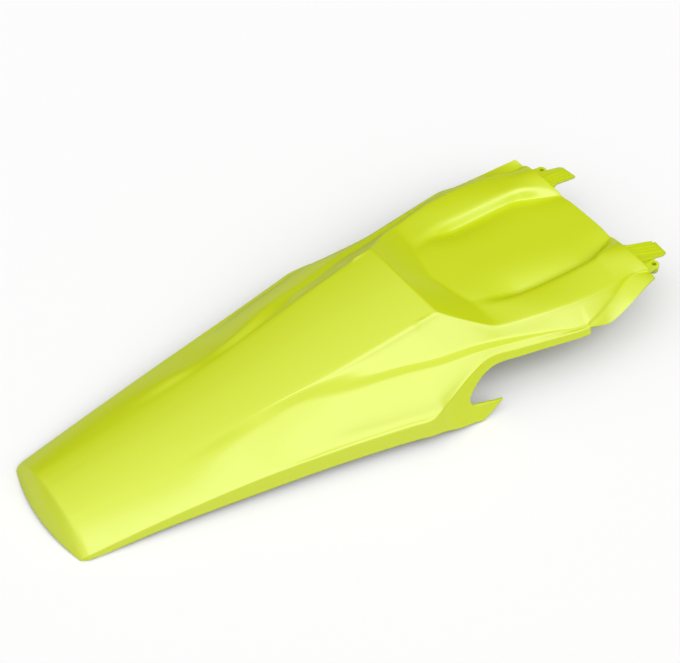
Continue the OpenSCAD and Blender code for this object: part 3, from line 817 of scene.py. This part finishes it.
def web(side):
    outline = [
        (-TAB_BACK, 61.9), (-8.5, 61.6), (-5, 57), (24, leaf_z(24) - .6), (WEB_END, leaf_z(WEB_END) - .6),
        (WEB_END, TAB_H - 3), (SCREW_X, TAB_H - EAR_WALL), (-TAB_BACK, TAB_H - EAR_WALL),
    ]
    return prism(*[[(x, side * y, z) for x, z in outline] for y in (WEB_IN, WEB_IN + WEB_WALL)])


def tab(side):
    outline = [
        (-TAB_BACK, TAB_IN), (SCREW_X + 5, TAB_IN), (SCREW_X + 5, SCREW_Y), (SCREW_X, SCREW_Y + 5.4),
        (5, SCREW_Y + 7), (-3, TAB_OUT), (-TAB_BACK, TAB_OUT),
    ]
    return prism(*[[(x, side * y, z) for x, y in outline] for z in (TAB_H - EAR_WALL, TAB_H)])


def tab_wall(side):
    outline = [
        (TAB_IN, TAB_H - EAR_WALL), (TAB_IN, 61.8), (90, 58.9), (96, 55.8), (TAB_OUT, 55),
        (TAB_OUT, TAB_H - EAR_WALL),
    ]
    return prism(*[[(x, side * y, z) for y, z in outline] for x in (-TAB_BACK, EAR_WALL - TAB_BACK)])


def round_bar(radius, low, high, side, rounding_mm):
    turns = [2 * math.pi * n / BAR_SIDES for n in range(BAR_SIDES)]
    return prism(*[
        [(SCREW_X + radius * math.cos(a), side * (SCREW_Y + radius * math.sin(a)), z) for a in turns]
        for z in (low, high)
    ], rounding_mm)


def ear(side):
    """One ear with its ribs, web, tab and screw boss, as one solid."""
    whole = leaf(side)
    parts = [rib(i, side) for i in range(RIB_COUNT)] + [web(side), tab(side), tab_wall(side)]
    parts.append(round_bar(SCREW_D / 2 + BOSS_WALL, TAB_H - BOSS_LEN, TAB_H, side, EDGE_ROUND))
    for part in parts:
        combine(whole, part, "UNION")
    combine(whole, round_bar(SCREW_D / 2, TAB_H - BOSS_LEN - 1, TAB_H + 1, side, 0), "DIFFERENCE")
    return whole


# Colour of the plastic, its gloss, which is a coat, and the sizes of its uneven gloss and orange peel
LIME = (.65, .765, .005, 1)
COAT_WEIGHT = .26
COAT_IOR = 4
COAT_ROUGHNESS = .27
LOW_ROUGHNESS = .27
HIGH_ROUGHNESS = .35
CLOUD_SCALE = 14
PEEL_SCALE = 900
PEEL_STRENGTH = .05
PEEL_DEPTH = .0004
# Creases that are sharper than this are shaded as edges
SHARP_ANGLE = math.radians(32)


def plastic():
    """Glossy moulded plastic with a faint orange peel and slightly uneven gloss."""
    mat = bpy.data.materials.new("fender_plastic")
    mat.use_nodes = True
    nodes = mat.node_tree.nodes
    links = mat.node_tree.links
    shader = nodes["Principled BSDF"]
    shader.inputs["Base Color"].default_value = LIME
    shader.inputs["Specular IOR Level"].default_value = 0
    shader.inputs["Coat Weight"].default_value = COAT_WEIGHT
    shader.inputs["Coat IOR"].default_value = COAT_IOR
    shader.inputs["Coat Roughness"].default_value = COAT_ROUGHNESS
    place = nodes.new("ShaderNodeTexCoord")
    cloud = nodes.new("ShaderNodeTexNoise")
    cloud.inputs["Scale"].default_value = CLOUD_SCALE
    cloud.inputs["Detail"].default_value = 3
    gloss = nodes.new("ShaderNodeMapRange")
    gloss.inputs["To Min"].default_value = LOW_ROUGHNESS
    gloss.inputs["To Max"].default_value = HIGH_ROUGHNESS
    peel = nodes.new("ShaderNodeTexNoise")
    peel.inputs["Scale"].default_value = PEEL_SCALE
    peel.inputs["Detail"].default_value = 2
    bump = nodes.new("ShaderNodeBump")
    bump.inputs["Strength"].default_value = PEEL_STRENGTH
    bump.inputs["Distance"].default_value = PEEL_DEPTH
    links.new(place.outputs["Object"], cloud.inputs["Vector"])
    links.new(place.outputs["Object"], peel.inputs["Vector"])
    links.new(cloud.outputs["Fac"], gloss.inputs["Value"])
    links.new(gloss.outputs["Result"], shader.inputs["Roughness"])
    links.new(peel.outputs["Fac"], bump.inputs["Height"])
    links.new(bump.outputs["Normal"], shader.inputs["Normal"])
    links.new(bump.outputs["Normal"], shader.inputs["Coat Normal"])
    return mat


def build_fender():
    points, faces = fender_mesh()
    shell = make_object("rear_fender_moulding", points, faces)
    for side in (1, -1):
        combine(shell, ear(side), "UNION")
    shell.data.shade_smooth()
    shell.data.set_sharp_from_angle(angle=SHARP_ANGLE)
    shell.data.materials.clear()
    shell.data.materials.append(plastic())
    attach(shell, "root")
    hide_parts("rear_fender")
    return shell


def math_node(nodes, links, operation, *values):
    """The output of a Math node whose inputs are numbers or other outputs."""
    node = nodes.new("ShaderNodeMath")
    node.operation = operation
    for socket, value in zip(node.inputs, values):
        if isinstance(value, bpy.types.NodeSocket):
            links.new(value, socket)
        else:
            socket.default_value = value
    return node.outputs[0]


def seen_share(nodes, links):
    """1 for rays that show the background, directly, in gloss or through glass, and 0 for the rest."""
    rays = nodes.new("ShaderNodeLightPath")
    share = rays.outputs["Is Camera Ray"]
    for name in ("Is Glossy Ray", "Is Transmission Ray"):
        share = math_node(nodes, links, "MAXIMUM", share, rays.outputs[name])
    return share


FLOOR_SIZE = 60
FLOOR_SEEN = (.97, .97, .97, 1)
FLOOR_DIM = (.15, .15, .15, 1)


def build_floor():
    """A plane that looks white and throws back little light."""
    bpy.ops.mesh.primitive_plane_add(size=FLOOR_SIZE, location=(0, 0, 0))
    floor = bpy.context.object
    floor.name = "floor"
    mat = bpy.data.materials.new("floor_white")
    mat.use_nodes = True
    nodes = mat.node_tree.nodes
    links = mat.node_tree.links
    nodes.clear()
    out = nodes.new("ShaderNodeOutputMaterial")
    seen = nodes.new("ShaderNodeBsdfDiffuse")
    seen.inputs["Color"].default_value = FLOOR_SEEN
    dim = nodes.new("ShaderNodeBsdfDiffuse")
    dim.inputs["Color"].default_value = FLOOR_DIM
    pick = nodes.new("ShaderNodeMixShader")
    links.new(seen_share(nodes, links), pick.inputs[0])
    links.new(dim.outputs[0], pick.inputs[1])
    links.new(seen.outputs[0], pick.inputs[2])
    links.new(pick.outputs[0], out.inputs["Surface"])
    floor.data.materials.append(mat)


# Where the lamp's light comes from: high on the near side, as read from the photograph's reflections
KEY = Vector((.207, -.636, .743))
KEY_ENERGY = 1.08
KEY_ANGLE = math.radians(54)
# Where the soft sky is brightest: high up, toward the tail and the near side
SKY = Vector((-.42, -.33, .84))
SKY_BASE = .08
SKY_GLOW = 1.17


def build_world():
    """A soft sky that fades away from its bright side."""
    world = bpy.data.worlds.new("studio")
    bpy.context.scene.world = world
    world.use_nodes = True
    nodes = world.node_tree.nodes
    links = world.node_tree.links
    nodes.clear()
    out = nodes.new("ShaderNodeOutputWorld")
    place = nodes.new("ShaderNodeTexCoord")
    toward = nodes.new("ShaderNodeVectorMath")
    toward.operation = "DOT_PRODUCT"
    toward.inputs[1].default_value = SKY.normalized()
    links.new(place.outputs["Generated"], toward.inputs[0])
    facing = math_node(nodes, links, "MAXIMUM", toward.outputs["Value"], 0)
    glow = math_node(nodes, links, "MULTIPLY_ADD", facing, SKY_GLOW, SKY_BASE)
    light = nodes.new("ShaderNodeBackground")
    light.inputs["Color"].default_value = (1, 1, 1, 1)
    links.new(glow, light.inputs["Strength"])
    links.new(light.outputs[0], out.inputs["Surface"])


def build_key():
    """One broad lamp."""
    data = bpy.data.lights.new("key", "SUN")
    data.energy = KEY_ENERGY
    data.angle = KEY_ANGLE
    key = bpy.data.objects.new("key", data)
    bpy.context.scene.collection.objects.link(key)
    key.rotation_euler = KEY.to_track_quat("Z", "Y").to_euler()


# The photograph's camera, in millimetres from the tail corners with the fender level on its mirror plane
FOCAL_PIXELS = 1605
PHOTO_WIDTH = 680
SENSOR = 36
CAMERA_MM = (-292.70, -892.66, 1188.76)
AZIMUTH = math.radians(-34.88)
ELEVATION = math.radians(46.34)
# The rest plane is tilted to the photograph's level by this much about Y
TILT = math.atan(12.7 / 409.5)


def build_camera():
    data = bpy.data.cameras.new("camera")
    data.sensor_width = SENSOR
    data.sensor_fit = "HORIZONTAL"
    data.lens = FOCAL_PIXELS * SENSOR / PHOTO_WIDTH
    data.clip_end = 50
    camera = bpy.data.objects.new("camera", data)
    bpy.context.scene.collection.objects.link(camera)
    right = Vector((math.cos(AZIMUTH), math.sin(AZIMUTH), 0))
    back = Vector((
        math.sin(AZIMUTH) * math.cos(ELEVATION), -math.cos(AZIMUTH) * math.cos(ELEVATION), math.sin(ELEVATION)
    ))
    up = back.cross(right)
    turn = Matrix.Rotation(-TILT, 3, "Y")
    axes = Matrix((turn @ right, turn @ up, turn @ back)).transposed()
    place = turn @ Vector(CAMERA_MM)
    camera.matrix_world = Matrix.Translation(Vector(placed([list(place)])[0])) @ axes.to_4x4()
    bpy.context.scene.camera = camera


build_camera()
build_floor()
build_world()
build_key()
build_fender()
bpy.context.scene.view_settings.view_transform = "Standard"
